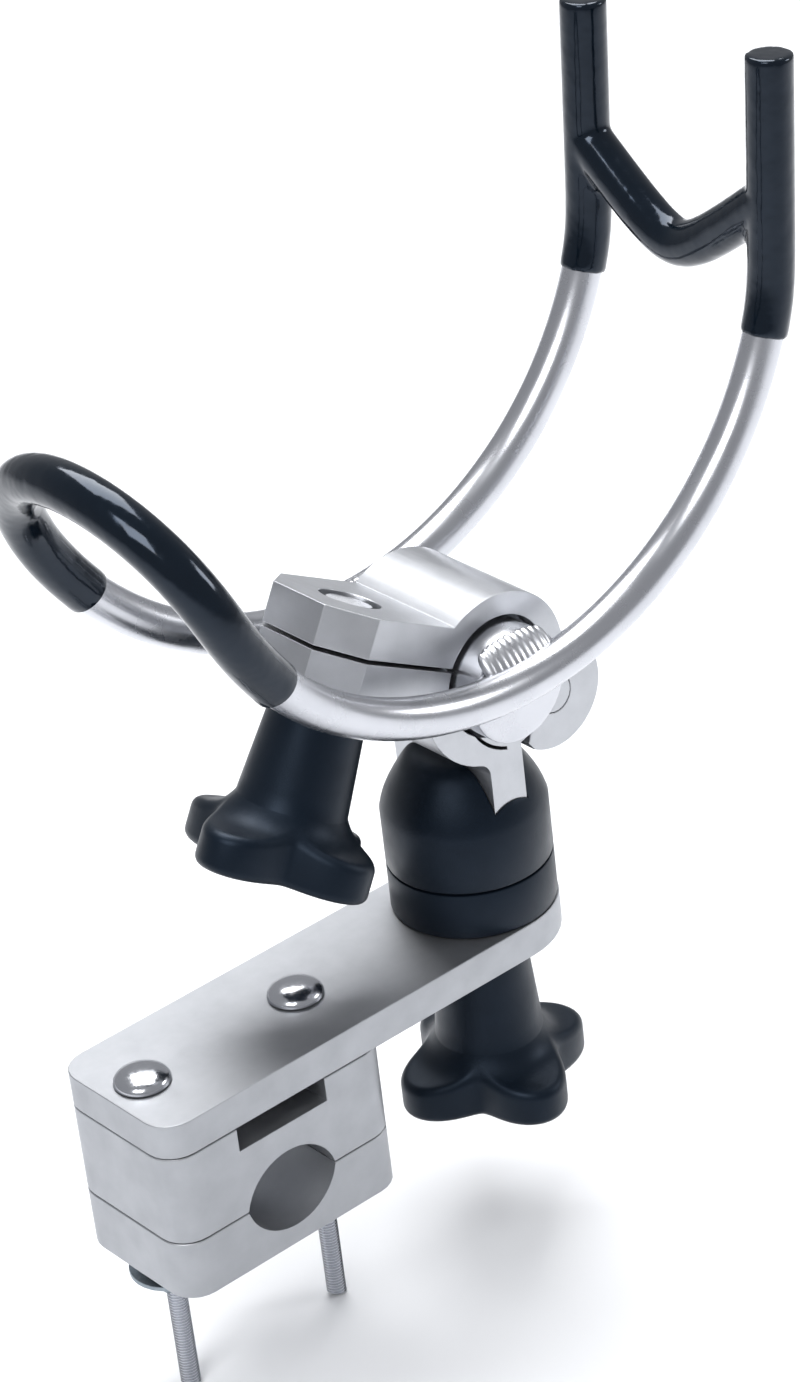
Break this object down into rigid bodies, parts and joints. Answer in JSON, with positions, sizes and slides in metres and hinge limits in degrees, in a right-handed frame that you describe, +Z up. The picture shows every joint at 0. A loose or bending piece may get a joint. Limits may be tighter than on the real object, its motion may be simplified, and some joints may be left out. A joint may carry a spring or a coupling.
{
  "type": "rod holder",
  "caption": "Boat-rail fishing rod holder: a rail clamp and arm plate carry a knob-locked swivel and tilt clamp that grip a wire cradle with a coated fork and rear loop.",
  "frame": {"origin": "centre of the rail bore, on the seam between the two rail blocks", "axes": "+X along the arm plate from the rail clamp to the swivel, +Y along the rail, +Z up, away from the rail"},
  "size_m": [0.2503, 0.0978, 0.3446],
  "materials": {
    "natural_aluminium": "bead-blasted, clear anodised",
    "polished_aluminium": "satin polished",
    "black_moulded": "satin moulded black",
    "black_vinyl": "glossy dipped vinyl",
    "zinc_steel": "zinc plated, dull",
    "bright_steel": "polished stainless steel",
    "brass": "turned",
    "nylon": "natural nylon"
  },
  "bodies": {
    "arm": {"arm_plate": "natural_aluminium", "upper_rail_block": "natural_aluminium", "rail_bolt_outer": "bright_steel", "rail_bolt_inner": "bright_steel", "swivel_base_ring": "black_moulded", "base_dowel_near": "zinc_steel", "base_dowel_far": "zinc_steel", "friction_washer": "nylon"},
    "lower_clamp": {"lower_rail_block": "natural_aluminium", "rail_washer_outer": "zinc_steel", "rail_washer_inner": "zinc_steel"},
    "outer_nut": {"rail_nut_outer": "zinc_steel"},
    "inner_nut": {"rail_nut_inner": "zinc_steel"},
    "head": {"swivel_cap": "black_moulded", "head_bracket": "natural_aluminium", "pivot_stud": "zinc_steel", "stud_pin": "zinc_steel"},
    "swivel_washer": {"swivel_washer": "zinc_steel"},
    "swivel_knob": {"swivel_knob": "black_moulded", "swivel_knob_insert": "brass"},
    "upper_jaw": {"upper_clamp_jaw": "natural_aluminium", "clamp_screw": "bright_steel"},
    "clamp_washer": {"clamp_washer": "zinc_steel"},
    "clamp_knob": {"clamp_knob": "black_moulded", "clamp_knob_insert": "brass"},
    "cradle": {"pivot_bar": "polished_aluminium", "cradle_rod": "polished_aluminium", "fork_crossbar": "polished_aluminium", "loop_sleeve": "black_vinyl", "fork_coat": "black_vinyl", "near_top_weld": "polished_aluminium", "near_bottom_weld": "polished_aluminium", "far_top_weld": "polished_aluminium", "far_bottom_weld": "polished_aluminium"}
  },
  "joints": [
    {"name": "rail_clamp_open", "type": "slide", "parent": "arm", "child": "lower_clamp", "axis": [0, 0, -1], "range_m": [0, 0.01]},
    {"name": "outer_nut_turn", "type": "hinge", "parent": "lower_clamp", "child": "outer_nut", "pos_m": [-0.028, 0, -0.027], "axis": [0, 0, -1], "range_deg": [0, 3610]},
    {"name": "inner_nut_turn", "type": "hinge", "parent": "lower_clamp", "child": "inner_nut", "pos_m": [0.028, 0, -0.027], "axis": [0, 0, -1], "range_deg": [0, 3610]},
    {"name": "swivel_turn", "type": "hinge", "parent": "arm", "child": "head", "pos_m": [0.097, 0, 0.05], "axis": [0, 0, 1], "continuous": true},
    {"name": "swivel_washer_drop", "type": "slide", "parent": "head", "child": "swivel_washer", "axis": [0, 0, -1], "range_m": [0, 0.0045]},
    {"name": "swivel_knob_turn", "type": "hinge", "parent": "swivel_washer", "child": "swivel_knob", "pos_m": [0.097, 0, 0.01], "axis": [0, 0, -1], "range_deg": [0, 1081]},
    {"name": "jaw_open", "type": "hinge", "parent": "head", "child": "upper_jaw", "pos_m": [0.1175, 0, 0.1072], "axis": [0, 1, 0], "range_deg": [0, 1.06]},
    {"name": "clamp_washer_drop", "type": "slide", "parent": "upper_jaw", "child": "clamp_washer", "axis": [-0.4818, 0, -0.8763], "range_m": [0, 0.0013]},
    {"name": "clamp_knob_turn", "type": "hinge", "parent": "clamp_washer", "child": "clamp_knob", "pos_m": [0.05897, 0, 0.14311], "axis": [-0.4818, 0, -0.8763], "range_deg": [0, 360]},
    {"name": "cradle_tilt", "type": "hinge", "parent": "upper_jaw", "child": "cradle", "pos_m": [0.097, 0, 0.1222], "axis": [0, 1, 0], "range_deg": [-60, 72]}
  ],
  "couplings": [
    {"joint": "outer_nut_turn", "follows": "rail_clamp_open", "rad_per_m": 6283.2},
    {"joint": "inner_nut_turn", "follows": "rail_clamp_open", "rad_per_m": 6283.2},
    {"joint": "swivel_knob_turn", "follows": "swivel_washer_drop", "rad_per_m": 4188.8},
    {"joint": "clamp_washer_drop", "follows": "clamp_knob_turn", "m_per_rad": 0.00019894},
    {"joint": "jaw_open", "follows": "clamp_knob_turn", "ratio": 0.00292}
  ]
}
